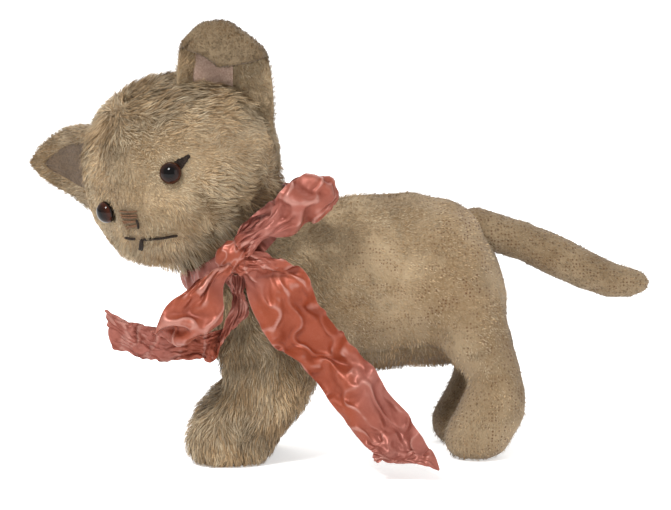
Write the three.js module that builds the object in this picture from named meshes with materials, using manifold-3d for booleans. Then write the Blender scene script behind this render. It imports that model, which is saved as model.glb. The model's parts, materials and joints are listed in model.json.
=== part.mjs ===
// Plush standing kitten with a disc-jointed head, sewn ears and tail, and a taffeta neck bow.
// Millimetres, +Z up. The kitten looks along -X, its own left side is -Y, and it stands on Z = 0.
import * as THREE from 'three';
import { mergeVertices } from 'three/addons/utils/BufferGeometryUtils.js';
import Module from 'manifold-3d';

const wasm = await Module();
wasm.setup();

// ---------- driving dimensions ----------
const RAD = Math.PI / 180;
const GAP = 0.3; // between touching pieces
const CLOTH = 1.6; // mohair plush with its backing
const SEAM_Y = 16; // the belly gusset reaches to the middle of each leg
const GUSSET_TOP = 44;
const RING_SIDES = 24;

const NECK_PIVOT = [-42.6, 0, 83.8];
const NECK_TILT = 40 * RAD; // the swivel axis leans forward
const HEAD_TURN = 53 * RAD; // stored pose: the head looks to its left
const HEAD_PITCH = 20 * RAD;
const HEAD_RISE = 27; // from the neck plane to the head's centre
const HEAD_BASE = 0.5; // the head's flat base above the neck plane
const HEAD_RADII = { forward: 36, side: 36, up: 31 };

const PIN_R = 1.2;
const PIN_HOLE_R = 1.7;
const DISC = { r: 14, thick: 2.4 };
const WASHER = { r: 6, thick: 0.8 };
const EYE_R = 4;
const THREAD_R = 0.55;
const TAFFETA = 0.7; // a ribbon leaf, lining creases included
const RIBBON_HALF = 11;

// ---------- materials ----------
const cloth = (color, roughness) => new THREE.MeshStandardMaterial({ color, roughness, metalness: 0 });
const MOHAIR = cloth(0xb49a74, 0.95);
const FELT = cloth(0xc09a86, 0.95);
const WOOD_WOOL = cloth(0xcdb98e, 1);
const GLASS = cloth(0x1d0d07, 0.08);
const THREAD = cloth(0x1a1512, 0.8);
const NOSE_THREAD = cloth(0x8a5f35, 0.85);
const BOARD = cloth(0x8f7a5a, 0.9);
const STEEL = new THREE.MeshStandardMaterial({ color: 0x9a9a98, roughness: 0.4, metalness: 1 });
const RIBBON = cloth(0xd9694f, 0.4);

// ---------- solids ----------
const v = (x, y, z) => new THREE.Vector3(x, y, z);

function positionsOnly(geometry) {
  const bare = geometry.clone();
  for (const name of Object.keys(bare.attributes)) if (name !== 'position') bare.deleteAttribute(name);
  return mergeVertices(bare, 1e-4);
}

function solid(geometry) {
  const bare = positionsOnly(geometry);
  const mesh = new wasm.Mesh({
    numProp: 3,
    vertProperties: new Float32Array(bare.attributes.position.array),
    triVerts: new Uint32Array(bare.index.array),
  });
  return new wasm.Manifold(mesh);
}

function piece(name, body, material) {
  const { vertProperties, triVerts, numProp } = body.getMesh();
  const points = new Float32Array((vertProperties.length / numProp) * 3);
  for (let i = 0; i < points.length / 3; i += 1) {
    for (let k = 0; k < 3; k += 1) points[3 * i + k] = vertProperties[numProp * i + k];
  }
  const geometry = new THREE.BufferGeometry();
  geometry.setAttribute('position', new THREE.BufferAttribute(points, 3));
  geometry.setIndex(Array.from(triVerts));
  geometry.computeVertexNormals();
  const mesh = new THREE.Mesh(geometry, material);
  mesh.name = name;
  return mesh;
}

// A closed skin over rings of equal length, with a fan over each end.
function loft(rings) {
  const sides = rings[0].length;
  const points = rings.flat();
  const middle = (ring) => ring.reduce((sum, p) => sum.add(p), v(0, 0, 0)).divideScalar(sides);
  const first = points.push(middle(rings[0])) - 1;
  const last = points.push(middle(rings[rings.length - 1])) - 1;
  const faces = [];
  for (let j = 0; j < sides; j += 1) {
    const k = (j + 1) % sides;
    for (let i = 0; i + 1 < rings.length; i += 1) {
      const a = i * sides;
      const b = a + sides;
      faces.push(a + j, a + k, b + k, a + j, b + k, b + j);
    }
    const end = (rings.length - 1) * sides;
    faces.push(first, k, j, last, end + j, end + k);
  }
  const geometry = new THREE.BufferGeometry().setFromPoints(points);
  geometry.setIndex(signedVolume(points, faces) < 0 ? faces.reverse() : faces);
  return geometry;
}

function signedVolume(points, faces) {
  let sum = 0;
  for (let i = 0; i < faces.length; i += 3) {
    const [a, b, c] = [points[faces[i]], points[faces[i + 1]], points[faces[i + 2]]];
    sum += a.dot(b.clone().cross(c));
  }
  return sum;
}

function ellipse(centre, across, up, halfAcross, halfUp, sides = RING_SIDES) {
  return Array.from({ length: sides }, (_, i) => {
    const t = (2 * Math.PI * i) / sides;
    return centre.clone()
      .addScaledVector(across, halfAcross * Math.cos(t))
      .addScaledVector(up, halfUp * Math.sin(t));
  });
}

// Every point moved out along its normal, or in for a negative distance.
function grown(geometry, distance) {
  const bare = positionsOnly(geometry);
  bare.computeVertexNormals();
  const { position, normal } = bare.attributes;
  for (let i = 0; i < position.count; i += 1) {
    position.setXYZ(
      i,
      position.getX(i) + distance * normal.getX(i),
      position.getY(i) + distance * normal.getY(i),
      position.getZ(i) + distance * normal.getZ(i),
    );
  }
  return bare;
}

const box = (x0, x1, y0, y1, z0, z1) =>
  new THREE.BoxGeometry(x1 - x0, y1 - y0, z1 - z0).translate((x0 + x1) / 2, (y0 + y1) / 2, (z0 + z1) / 2);

const upright = (r, z0, z1, sides = 20) =>
  new THREE.CylinderGeometry(r, r, z1 - z0, sides).rotateX(Math.PI / 2).translate(0, 0, (z0 + z1) / 2);

const neckFrame = new THREE.Matrix4()
  .makeRotationY(-NECK_TILT)
  .setPosition(...NECK_PIVOT);

// ---------- body ----------
// Upright sections from the rump to the neck; tilt leans a section's top backwards.
const TORSO = [
  { x: 57.5, z: 52, tilt: 0, high: 7, wide: 7 },
  { x: 55, z: 54.5, tilt: 0, high: 14, wide: 13 },
  { x: 50.5, z: 57, tilt: 0, high: 22, wide: 18 },
  { x: 46, z: 60, tilt: 0, high: 27.5, wide: 21 },
  { x: 38, z: 62, tilt: 0, high: 31, wide: 23 },
  { x: 22, z: 63.5, tilt: 0, high: 32.5, wide: 24 },
  { x: 4, z: 62.5, tilt: 0, high: 33, wide: 24 },
  { x: -10, z: 61.5, tilt: 6, high: 33, wide: 24 },
  { x: -22, z: 61.5, tilt: 16, high: 34, wide: 24 },
  { x: -32.5, z: 64.5, tilt: 28, high: 33.5, wide: 24 },
  { x: -38.5, z: 73.3, tilt: 40, high: 27.5, wide: 23 },
  { x: NECK_PIVOT[0] + 2.6, z: NECK_PIVOT[2] - 3.2, tilt: 50, high: 21.6, wide: 20.6 },
  { x: NECK_PIVOT[0] + 0.3, z: NECK_PIVOT[2] - 0.3, tilt: 50, high: 20.6, wide: 19.6 },
];

// Level sections from the sole up; front and back are the ends of each section along X.
const FRONT_LEG = [
  { z: 0, front: -55, back: -36, y: 16, half: 8 },
  { z: 1.5, front: -59, back: -32.5, y: 16, half: 10.5 },
  { z: 5, front: -61.5, back: -29.5, y: 16, half: 12 },
  { z: 10, front: -62, back: -26.5, y: 16, half: 12.3 },
  { z: 16, front: -60, back: -21.5, y: 16, half: 12.2 },
  { z: 20, front: -55.5, back: -18, y: 16, half: 12 },
  { z: 27, front: -48, back: -13.5, y: 15.5, half: 11.5 },
  { z: 35, front: -49, back: -11, y: 14.5, half: 12 },
  { z: 43, front: -50, back: -12, y: 13, half: 12.3 },
  { z: 53, front: -46, back: -15, y: 11.5, half: 11.5 },
  { z: 64, front: -40, back: -20, y: 10, half: 8 },
];
const REAR_LEG = [
  { z: 0, front: 36, back: 50.5, y: 16, half: 8 },
  { z: 1.5, front: 33.5, back: 54, y: 16, half: 10.5 },
  { z: 5, front: 31.5, back: 57, y: 16, half: 12 },
  { z: 9, front: 31, back: 59.5, y: 16, half: 12.2 },
  { z: 15, front: 33.5, back: 62.6, y: 16, half: 12 },
  { z: 21, front: 37, back: 63.4, y: 16, half: 11.6 },
  { z: 28, front: 40, back: 62.4, y: 15.5, half: 11.6 },
  { z: 34, front: 34.5, back: 60.6, y: 14.5, half: 12 },
  { z: 41, front: 28, back: 58.8, y: 13.5, half: 12.5 },
  { z: 51, front: 24.5, back: 57, y: 12.5, half: 12.6 },
  { z: 62, front: 26, back: 55, y: 11, half: 11 },
  { z: 72, front: 31, back: 49, y: 9, half: 8 },
];
const RIGHT_FORELEG_SET_BACK = 7; // the right forefoot stands a little behind the left one
const FORELEG_TOP = 64;

function torso(sides) {
  return loft(TORSO.map(({ x, z, tilt, high, wide }) => {
    const up = v(Math.sin(tilt * RAD), 0, Math.cos(tilt * RAD));
    return ellipse(v(x, 0, z), v(0, 1, 0), up, wide, high, sides);
  }));
}

function leg(sections, side, setBack, sides) {
  return loft(sections.map(({ z, front, back, y, half }) => {
    const shift = setBack * (1 - z / FORELEG_TOP);
    const centre = v((front + back) / 2 + shift, side * y, z);
    return ellipse(centre, v(1, 0, 0), v(0, 1, 0), (back - front) / 2, half, sides);
  }));
}

// The torso with its four legs, moved out by a distance; detail 1 is the finest.
function bodyForm(distance, detail = 1) {
  const [torsoSides, legSides] = [18 / detail, 12 / detail];
  return [
    torso(torsoSides),
    leg(FRONT_LEG, -1, 0, legSides),
    leg(FRONT_LEG, 1, RIGHT_FORELEG_SET_BACK, legSides),
    leg(REAR_LEG, -1, 0, legSides),
    leg(REAR_LEG, 1, 0, legSides),
  ]
    .map((form) => solid(distance ? grown(form, distance) : form))
    .reduce((sum, form) => sum.add(form));
}

const bodyOuter = bodyForm(0);
const bodyClearance = bodyForm(0.5);
const pinHole = solid(upright(PIN_HOLE_R, -16, 16).applyMatrix4(neckFrame));
const bodySkin = bodyOuter.subtract(bodyForm(-CLOTH)).subtract(pinHole);

// Plan of the belly gusset: full width between the legs, tapering to a point at chest and rump.
function gussetCutter(margin) {
  const half = SEAM_Y + margin;
  const plan = new THREE.Shape([[-68, 0], [-46, -half], [50, -half], [70, 0], [50, half], [-46, half]]
    .map(([x, y]) => new THREE.Vector2(x, y)));
  return solid(new THREE.ExtrudeGeometry(plan, { depth: GUSSET_TOP + margin + 5, bevelEnabled: false })
    .translate(0, 0, -5));
}

const bodySides = bodySkin.subtract(gussetCutter(GAP / 2));
const leftHalf = solid(box(-200, 200, -200, -GAP / 2, -200, 300));
const rightHalf = solid(box(-200, 200, GAP / 2, 200, -200, 300));
const neckHardwareRoom = solid(upright(17.5, -15, 3).applyMatrix4(neckFrame));

const bodyPieces = [
  piece('body_side_left', bodySides.intersect(leftHalf), MOHAIR),
  piece('body_side_right', bodySides.intersect(rightHalf), MOHAIR),
  piece('belly_gusset', bodySkin.intersect(gussetCutter(-GAP / 2)), MOHAIR),
  piece('body_stuffing', bodyForm(-CLOTH - 2 * GAP, 2).subtract(neckHardwareRoom), WOOD_WOOL),
];

// ---------- tail ----------
const TAIL_HINGE = v(57, 0, 79);
const TAIL_ROOT_R = 5.3;
const TAIL = [
  { x: 62, z: 77, r: 7 },
  { x: 68, z: 74.3, r: 7.9 },
  { x: 77, z: 70, r: 7.9 },
  { x: 86, z: 65.6, r: 7.6 },
  { x: 96, z: 61.6, r: 6.8 },
  { x: 103, z: 60.6, r: 6 },
  { x: 107.5, z: 61.2, r: 4.4 },
  { x: 109.6, z: 62, r: 2 },
];

function tailForm() {
  const heading = v(TAIL[0].x, 0, TAIL[0].z).sub(TAIL_HINGE).normalize();
  const root = [-78, -55, -30, 0].map((angle) => ({
    centre: TAIL_HINGE.clone().addScaledVector(heading, TAIL_ROOT_R * Math.sin(angle * RAD)),
    r: TAIL_ROOT_R * Math.cos(angle * RAD),
  }));
  const stations = [...root, ...TAIL.map(({ x, z, r }) => ({ centre: v(x, 0, z), r }))];
  return loft(stations.map(({ centre, r }, i) => {
    const ahead = stations[Math.min(i + 1, stations.length - 1)].centre;
    const behind = stations[Math.max(i - 1, 0)].centre;
    const along = ahead.clone().sub(behind).normalize();
    return ellipse(centre, v(0, 1, 0), v(0, 1, 0).cross(along), r, r, 12);
  }));
}

const tailOuter = tailForm();
const tailMouth = solid(new THREE.SphereGeometry(3, 16, 12)
  .translate(TAIL_HINGE.x - 4.4, 0, TAIL_HINGE.z + 2.2));
const tailSkin = solid(tailOuter).subtract(solid(grown(tailOuter, -CLOTH)));
const tailPieces = [
  piece('tail_cover', tailSkin.subtract(tailMouth), MOHAIR),
  piece('tail_stuffing', solid(grown(tailOuter, -CLOTH - GAP)), WOOD_WOOL),
];

// ---------- head, in its own frame: +X forward, +Y to its left, +Z up ----------
const toward = (azimuth, elevation) => v(
  Math.cos(elevation * RAD) * Math.cos(azimuth * RAD),
  Math.cos(elevation * RAD) * Math.sin(azimuth * RAD),
  Math.sin(elevation * RAD),
);
const SWELLINGS = [
  { at: toward(0, -22), height: 5.5, spread: 26 * RAD }, // muzzle
  { at: toward(-12, 72), height: 5.5, spread: 44 * RAD }, // crown
  { at: toward(62, -20), height: 1.8, spread: 30 * RAD }, // left cheek
  { at: toward(-62, -20), height: 1.8, spread: 30 * RAD }, // right cheek
];

function headRadius(direction) {
  const { forward, side, up } = HEAD_RADII;
  const plain = 1 / Math.hypot(direction.x / forward, direction.y / side, direction.z / up);
  return SWELLINGS.reduce(
    (r, { at, height, spread }) => r + height * Math.exp(-((direction.angleTo(at) / spread) ** 2)),
    plain,
  );
}

const onHead = (azimuth, elevation, lift = 0) => {
  const direction = toward(azimuth, elevation);
  return direction.multiplyScalar(headRadius(direction) + lift);
};

function headForm(distance, sides = 24, levels = 14) {
  const ball = positionsOnly(new THREE.SphereGeometry(1, sides, levels).rotateX(Math.PI / 2));
  const { position } = ball.attributes;
  for (let i = 0; i < position.count; i += 1) {
    const direction = v(0, 0, 0).fromBufferAttribute(position, i).normalize();
    const point = direction.clone().multiplyScalar(headRadius(direction) + distance);
    position.setXYZ(i, point.x, point.y, point.z);
  }
  return ball;
}

// Everything above a level counted along the swivel axis from the neck plane.
const axisInHead = NECK_TILT - HEAD_PITCH;
function above(level) {
  return solid(box(-150, 150, -150, 150, level - HEAD_RISE, 250).rotateY(axisInHead));
}

const headPinHole = solid(upright(PIN_HOLE_R, -HEAD_RISE - 16, -HEAD_RISE + 16).rotateY(axisInHead));
const headOuter = solid(headForm(0)).intersect(above(HEAD_BASE));
const headInner = solid(headForm(-CLOTH)).intersect(above(HEAD_BASE + CLOTH));

// ---------- eyes ----------
const EYES = { left: { azimuth: 30, elevation: -3 }, right: { azimuth: -18.5, elevation: -3 } };

function facing(azimuth, elevation) {
  const step = 2;
  const across = onHead(azimuth + step, elevation).sub(onHead(azimuth - step, elevation));
  const rise = onHead(azimuth, elevation + step).sub(onHead(azimuth, elevation - step));
  const outward = across.clone().cross(rise).normalize();
  const side = rise.clone().cross(outward).normalize();
  const frame = new THREE.Matrix4().makeBasis(side, outward.clone().cross(side), outward);
  return frame.setPosition(onHead(azimuth, elevation));
}

function eyeDome() {
  const profile = [[0, GAP], [EYE_R - 0.4, GAP], [EYE_R, 0.9], [3.7, 1.9], [2.8, 2.9], [1.5, 3.5], [0, 3.7]];
  return new THREE.LatheGeometry(profile.map(([r, z]) => new THREE.Vector2(r, z)), 20).rotateX(Math.PI / 2);
}

function eyeWire() {
  const stem = solid(upright(0.5, -9, 0, 8));
  const loop = solid(new THREE.TorusGeometry(1.3, 0.5, 6, 10).rotateX(Math.PI / 2).translate(0, 0, -10));
  return stem.add(loop);
}

const transformed = (body, matrix) => body.transform(matrix.elements);

const eyeFrames = Object.entries(EYES)
  .map(([side, { azimuth, elevation }]) => ({ side, frame: facing(azimuth, elevation) }));
const eyeRoom = eyeFrames
  .map(({ frame }) => transformed(solid(upright(2.3, -13, 2, 16)), frame))
  .reduce((sum, part) => sum.add(part));
const eyePieces = eyeFrames.flatMap(({ side, frame }) => [
  piece(`eye_${side}_glass`, transformed(solid(eyeDome()), frame), GLASS),
  piece(`eye_${side}_wire`, transformed(eyeWire(), frame), STEEL),
]);

// ---------- head panels ----------
const headSkin = headOuter.subtract(headInner).subtract(headPinHole).subtract(eyeRoom);

// Plan of the strip that runs from the nose over the crown to the nape.
function crownCutter(margin) {
  const half = [[44, 3], [30, 7], [8, 13], [-16, 12], [-44, 8]].map(([x, y]) => [x, y + margin]);
  const outline = [...half, ...half.map(([x, y]) => [x, -y]).reverse()];
  const plan = new THREE.Shape(outline.map(([x, y]) => new THREE.Vector2(x, y)));
  return solid(new THREE.ExtrudeGeometry(plan, { depth: 80, bevelEnabled: false })
    .translate(0, 0, -14 - margin)
    .rotateY(-10 * RAD));
}

const headSides = headSkin.subtract(crownCutter(GAP / 2));
const discTop = HEAD_BASE + CLOTH + GAP + DISC.thick;
const pinRoom = solid(upright(7, -HEAD_RISE, -HEAD_RISE + 13).rotateY(axisInHead));
const headPieces = [
  piece('head_side_left', headSides.intersect(rightHalf), MOHAIR),
  piece('head_side_right', headSides.intersect(leftHalf), MOHAIR),
  piece('head_gusset', headSkin.intersect(crownCutter(-GAP / 2)), MOHAIR),
  piece('head_stuffing', solid(headForm(-CLOTH - 2 * GAP, 12, 7)).intersect(above(discTop + GAP))
    .subtract(pinRoom).subtract(eyeRoom), WOOD_WOOL),
];

// ---------- thread features ----------
function thread(points, radius = THREAD_R) {
  const path = new THREE.CatmullRomCurve3(points);
  const section = new THREE.Shape(ellipse(v(0, 0, 0), v(1, 0, 0), v(0, 1, 0), radius, radius, 6)
    .map(({ x, y }) => new THREE.Vector2(x, y)));
  const steps = 3 * (points.length - 1);
  return solid(new THREE.ExtrudeGeometry(section, { extrudePath: path, steps, bevelEnabled: false }));
}

const stitchLift = THREAD_R + GAP;
const stitched = (stops, lift = stitchLift) => thread(stops.map(([a, e]) => onHead(a, e, lift)));
const mouth = stitched([[-17.5, -19.5], [-6.5, -25], [2.5, -30], [12, -35.5]])
  .add(stitched([[-6.5, -25], [-13, -28], [-19, -30]]));

// A patch of flat stitches lying on the head between four corner directions.
function patch(corners, thick) {
  const steps = 6;
  const rows = Array.from({ length: steps + 1 }, (_, i) => {
    const t = i / steps;
    const mix = (p, q, k) => [p[0] + (q[0] - p[0]) * k, p[1] + (q[1] - p[1]) * k];
    const [left, right] = [mix(corners[0], corners[3], t), mix(corners[1], corners[2], t)];
    const across = Array.from({ length: 5 }, (_unused, j) => mix(left, right, j / 4));
    const low = across.map(([a, e]) => onHead(a, e, GAP));
    const high = across.map(([a, e]) => onHead(a, e, GAP + thick)).reverse();
    return [...low, ...high];
  });
  return solid(loft(rows));
}

const threadPieces = [
  piece('nose_stitching', patch([[-7.5, -4], [5, -10.5], [-2, -18.5], [-11.5, -16.5]], 0.9), NOSE_THREAD),
  piece('mouth_stitching', mouth, THREAD),
  piece('eye_left_corner_stitch', patch([[37.3, -4], [36.5, 1.5], [44, 1.5], [43.5, 0.3]], 0.8), THREAD),
  piece('eye_right_corner_stitch', patch([[-25.8, -4], [-25, 1.5], [-32.5, 1.5], [-32, 0.3]], 0.8), THREAD),
];

// ---------- ears ----------
const EAR = { rim: 4.5, back: 1.3, lining: 0.9 };
const EAR_POSES = {
  // roots are the sewn line's two ends; the left tip is folded down over the front
  left: { top: v(2, 19, 28), rear: v(-18, 31.5, 3), lean: v(0.02, 0.62, 0.78), front: 1,
    half: 19, height: 45.5, blunt: 0.75, foldAt: 25, foldDroop: [15, 8], flapSkew: 0.25,
    fold: 155 * RAD, foldRadius: 2.4, cup: [8, 5] },
  right: { top: v(5, -17, 32), rear: v(2, -34, -2), lean: v(-0.2, -0.88, 0.46), front: -1,
    half: 16.5, height: 41, blunt: 0.75, foldAt: 22, foldDroop: [0, 0], flapSkew: 0,
    fold: 12 * RAD, foldRadius: 20, cup: [5, 5] },
};

// One cloth layer between two depths; inset draws its edge in from the ear's own outline.
function earLayer(pose, near, far, inset) {
  const { top, rear, lean, front, blunt, foldAt, foldDroop, flapSkew, fold, foldRadius, cup } = pose;
  const [half, height] = [pose.half - inset, pose.height - inset];
  const along = rear.clone().sub(top).normalize();
  const rise = lean.clone().normalize();
  const face = along.clone().cross(rise).normalize().multiplyScalar(front);
  const root = top.clone().add(rear).multiplyScalar(0.5);
  const arc = fold * foldRadius;
  const start = -7; // runs into the head, where it is trimmed to the sewn line
  const steps = 13;
  const runs = Array.from({ length: steps }, (_, i) => start + ((pose.height - start) * i) / steps)
    .filter((run) => run < height - 0.5);
  const at = (run, s, depth) => {
    const share = THREE.MathUtils.clamp(run / height, 0, 1);
    const width = Math.max(0.8, half * (1 - share ** 2.2) ** blunt);
    const lateral = (s * width) / pose.half;
    const edge = s < 0 ? 0 : 1; // the top edge, then the rear edge
    const bendStart = foldAt - foldDroop[edge] * lateral ** 2;
    const bend = THREE.MathUtils.clamp((run - bendStart) / arc, 0, 1) * fold;
    const past = Math.max(0, run - bendStart - arc);
    const up = Math.min(run, bendStart) + foldRadius * Math.sin(bend) + past * Math.cos(bend);
    const out = foldRadius * (1 - Math.cos(bend)) + past * Math.sin(bend);
    const cupping = cup[edge] * (1 - THREE.MathUtils.clamp(run / foldAt, 0, 1) ** 2);
    return root.clone()
      .addScaledVector(along, s * width - flapSkew * past)
      .addScaledVector(rise, up - depth * Math.sin(bend))
      .addScaledVector(face, out + cupping * lateral ** 2 + depth * Math.cos(bend));
  };
  const spread = Array.from({ length: 7 }, (_, j) => j / 3 - 1);
  const rows = [...runs, height].map((run) => [
    ...spread.map((s) => at(run, s, near)),
    ...spread.toReversed().map((s) => at(run, s, far)),
  ]);
  return solid(loft(rows));
}

const headTrim = solid(headForm(1.6));
const earPieces = Object.entries(EAR_POSES).flatMap(([side, pose]) => {
  const front = EAR.lining + GAP / 2;
  const back = earLayer(pose, -EAR.back - GAP / 2, -GAP / 2, 0);
  const lining = earLayer(pose, GAP / 2, front, EAR.rim);
  const liningRoom = earLayer(pose, -GAP / 4, front + 1, EAR.rim - GAP);
  return [
    piece(`ear_${side}_back`, back.subtract(headTrim).subtract(liningRoom), MOHAIR),
    piece(`ear_${side}_lining`, lining.subtract(headTrim), FELT),
  ];
});

// ---------- neck joint ----------
const disc = (r, low, high) => solid(upright(r, low, high)).subtract(solid(upright(PIN_HOLE_R, low - 1, high + 1)));
const stacked = (start, ...thicknesses) => thicknesses.reduce(
  (levels, thick) => [...levels, levels[levels.length - 1] + thick + GAP],
  [start],
);
const [headDiscZ, headWasherZ, pinEyeZ] = stacked(HEAD_BASE + CLOTH + GAP, DISC.thick, WASHER.thick);
const [neckDiscZ, neckWasherZ, pinLegsZ] = stacked(0.4 + CLOTH + GAP, DISC.thick, WASHER.thick);

function cotterPin() {
  const shank = solid(upright(PIN_R, -pinLegsZ - 1, pinEyeZ + 1, 12));
  const eye = solid(new THREE.TorusGeometry(1.9, 0.9, 6, 12).rotateX(Math.PI / 2)
    .translate(0, 0, pinEyeZ + 2.9));
  const curls = [-1, 1].map((side) => {
    const turn = Array.from({ length: 5 }, (_, i) => {
      const t = (i / 4) * 200 * RAD;
      return v(side * (0.2 + 2.4 * (1 - Math.cos(t))), 0, -pinLegsZ - 0.4 - 2.2 * Math.sin(t) - 0.5);
    });
    return thread(turn, 0.8);
  });
  return curls.reduce((sum, curl) => sum.add(curl), shank.add(eye));
}

const headJointPieces = [
  piece('head_disc', disc(DISC.r, headDiscZ, headDiscZ + DISC.thick), BOARD),
  piece('head_washer', disc(WASHER.r, headWasherZ, headWasherZ + WASHER.thick), STEEL),
];
const neckJointPieces = [
  piece('neck_disc', disc(DISC.r, -neckDiscZ - DISC.thick, -neckDiscZ), BOARD),
  piece('neck_washer', disc(WASHER.r, -neckWasherZ - WASHER.thick, -neckWasherZ), STEEL),
  piece('neck_cotter_pin', cotterPin(), STEEL),
];

// ---------- ribbon ----------
// A leaf of ribbon through hand-set stops: where it lies, its half width and which way that runs.
function leaf(stops, steps) {
  const curve = (pick) => new THREE.CatmullRomCurve3(stops.map(pick), false, 'centripetal');
  const path = new THREE.CatmullRomCurve3(stops.map(({ at }) => v(...at)));
  const across = new THREE.CatmullRomCurve3(stops.map(({ across: a }) => v(...a)));
  const halves = curve(({ half }, i) => v(half, i, 0));
  const rings = Array.from({ length: steps + 1 }, (_, i) => {
    const t = i / steps;
    const [centre, side] = [path.getPoint(t), across.getPoint(t).normalize()];
    const normal = path.getTangent(t).cross(side).normalize();
    const half = halves.getPoint(t).x;
    return [[-1, -1], [1, -1], [1, 1], [-1, 1]].map(([s, n]) => centre.clone()
      .addScaledVector(side, s * half)
      .addScaledVector(normal, (n * TAFFETA) / 2));
  });
  return solid(loft(rings));
}

const stopsAlong = (across, list) => list.map(([at, half]) => ({ at, half, across }));
const KNOT = { at: [-46, -31.5, 77.5], radii: [5.6, 3.6, 5.4] };
const knot = solid(new THREE.SphereGeometry(1, 14, 10).scale(...KNOT.radii).translate(...KNOT.at));
const knotRoom = solid(new THREE.SphereGeometry(1, 14, 10)
  .scale(...KNOT.radii.map((r) => r + GAP)).translate(...KNOT.at));

const upperLoop = leaf(stopsAlong([-0.55, 0, 0.83], [
  [[-44, -34.5, 81], 4], [[-36, -37, 88.5], 6.5], [[-26, -38, 95.5], 8.5], [[-16, -35.5, 102], 8.5],
  [[-13.5, -31, 103.5], 8], [[-18, -27.5, 100.5], 8], [[-27, -27.5, 94.5], 7.5], [[-36, -28.5, 88], 6],
  [[-42.5, -29.5, 82.5], 4],
]), 24);
const lowerLoop = leaf(stopsAlong([0.98, 0, 0.2], [
  [[-50, -35.6, 74], 4], [[-57.5, -40, 67], 8.5], [[-61, -41.5, 56], RIBBON_HALF + 0.5],
  [[-62.5, -37.5, 48.5], RIBBON_HALF + 0.5], [[-61, -33.5, 54], RIBBON_HALF], [[-57, -32.5, 64], 8],
  [[-50.5, -32.6, 71], 5],
]), 20);
const longTail = leaf([
  { at: [-42, -34, 77], half: 5, across: [0.75, 0, 0.66] },
  { at: [-34.5, -35, 72.5], half: 8.5, across: [0.85, 0, 0.5] },
  { at: [-24.5, -36, 56], half: RIBBON_HALF, across: [0.85, 0, 0.52] },
  { at: [-13.5, -38, 43], half: 9, across: [0.74, 0, 0.67] },
  { at: [-4, -42.5, 30.5], half: 9, across: [0.74, 0, 0.67] },
  { at: [5, -48.5, 19.5], half: 9.5, across: [0.76, 0, 0.64] },
  { at: [10.5, -54.5, 11.5], half: 10.5, across: [0.9, 0, 0.35] },
  { at: [13.5, -59.5, 5.8], half: RIBBON_HALF + 0.5, across: [0.97, 0, -0.18] },
], 20);
const shortTail = leaf([
  { at: [-45, -29.6, 71.5], half: 3.5, across: [1, 0, 0.1] },
  { at: [-44, -28.8, 60], half: 5, across: [1, 0, 0.1] },
  { at: [-45.5, -28.6, 48], half: 6.5, across: [0.6, 0, 0.8] },
  { at: [-53, -27.6, 44.5], half: 7, across: [0.1, 0, 1] },
  { at: [-64, -26, 45], half: 7, across: [0.05, 0, 1] },
  { at: [-77, -26, 46.5], half: 8, across: [-0.15, 0, 1] },
  { at: [-90, -26, 51.5], half: 8, across: [-0.2, 0, 1] },
], 20);

// The gathered band around the neck, a little wider towards the shoulders.
function neckBand() {
  const profile = [[21.6, 0.2], [24.2, -4], [25.8, -9], [27.6, -9], [27.2, -4], [24.6, 0.2], [21.6, 0.2]];
  const ring = new THREE.LatheGeometry(profile.map(([r, z]) => new THREE.Vector2(r, z)), 26);
  return solid(ring.rotateX(Math.PI / 2).applyMatrix4(neckFrame));
}

const loose = (body) => body.subtract(knotRoom).subtract(bodyClearance);
const band = neckBand();
const ribbonPieces = [
  piece('ribbon_neck_band', loose(band), RIBBON),
  piece('ribbon_knot', knot, RIBBON),
  piece('ribbon_loop_upper', loose(upperLoop), RIBBON),
  piece('ribbon_loop_lower', loose(lowerLoop), RIBBON),
  piece('ribbon_tail_long', loose(longTail), RIBBON),
  piece('ribbon_tail_short', loose(shortTail), RIBBON),
];

// ---------- assembly ----------
const head = new THREE.Group();
head.position.z = HEAD_RISE;
head.rotation.set(0, NECK_TILT - HEAD_PITCH, Math.PI);
head.add(...headPieces, ...eyePieces, ...threadPieces, ...earPieces);

const swivel = new THREE.Group();
swivel.rotation.z = HEAD_TURN;
swivel.add(head, ...headJointPieces);

const neck = new THREE.Group();
neck.position.set(...NECK_PIVOT);
neck.rotation.y = -NECK_TILT;
neck.add(swivel, ...neckJointPieces);

const kitten = new THREE.Group();
kitten.add(neck, ...bodyPieces, ...tailPieces, ...ribbonPieces);

// The origin is under the middle of the whole kitten, on the surface that it stands on.
const part = new THREE.Group();
part.add(kitten);
part.updateMatrixWorld(true);
const bounds = new THREE.Box3().setFromObject(part, true);
kitten.position.set(-(bounds.min.x + bounds.max.x) / 2, -(bounds.min.y + bounds.max.y) / 2, -bounds.min.z);

export default part;
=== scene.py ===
"""The plush cat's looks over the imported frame: mohair and its pile, glass eyes, thread, crumpled ribbon."""

import json

import bmesh
import bpy
import numpy as np
from mathutils import Matrix, Vector
from mathutils.bvhtree import BVHTree
from mathutils.kdtree import KDTree


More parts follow.
